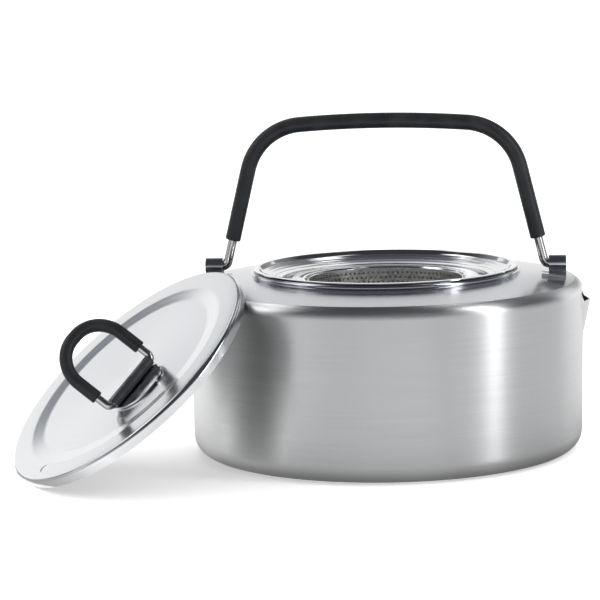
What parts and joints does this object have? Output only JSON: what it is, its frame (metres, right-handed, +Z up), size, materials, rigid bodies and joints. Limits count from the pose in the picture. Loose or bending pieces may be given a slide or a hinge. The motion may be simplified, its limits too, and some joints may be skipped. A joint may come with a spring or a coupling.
{
  "type": "camping teapot",
  "caption": "Low round steel camping teapot with a swinging bail, a pouring lip, a hanging tea strainer and a loose lid with a folding loop, leaning on the pot.",
  "frame": {"origin": "middle of the pot's flat base, on the ground", "axes": "+Z up; +X towards the pouring lip and along the line that the bail swings about; the lid leans on the pot's -X -Y side"},
  "size_m": [0.245, 0.2032, 0.1463],
  "materials": {
    "brushed_steel": "fine circular brushing, satin",
    "polished_steel": "mirror polished steel",
    "satin_steel": "satin",
    "strainer_steel": "bright perforated sheet",
    "wire_steel": "polished drawn wire",
    "black_hose": "semi-matte black hose"
  },
  "bodies": {
    "pot": {"pot_body": "brushed_steel", "pot_shoulder": "brushed_steel", "bail_bracket_left": "polished_steel", "bail_bracket_right": "polished_steel"},
    "bail": {"bail_wire": "wire_steel", "bail_sleeve": "black_hose"},
    "strainer": {"strainer_dish": "polished_steel", "strainer_basket": "strainer_steel", "strainer_bottom": "strainer_steel"},
    "lid": {"lid_shell": "satin_steel", "lid_keeper": "polished_steel"},
    "lid_loop": {"lid_loop_wire": "wire_steel", "lid_loop_sleeve": "black_hose"}
  },
  "joints": [
    {"name": "bail_swing", "type": "hinge", "parent": "pot", "child": "bail", "pos_m": [0, 0, 0.08025], "axis": [1, 0, 0], "range_deg": [-90, 75]},
    {"name": "strainer_lift", "type": "slide", "parent": "pot", "child": "strainer", "axis": [0, 0, 1], "range_m": [0, 0.033]},
    {"name": "lid_lift", "type": "slide", "parent": "pot", "child": "lid", "axis": [-0.5657, -0.3174, 0.7611], "range_m": [0, 0.12]},
    {"name": "lid_loop_fold", "type": "hinge", "parent": "lid", "child": "lid_loop", "pos_m": [-0.10027, -0.07817, 0.0424], "axis": [0.5366, 0.5591, 0.632], "range_deg": [-59, 101]}
  ]
}
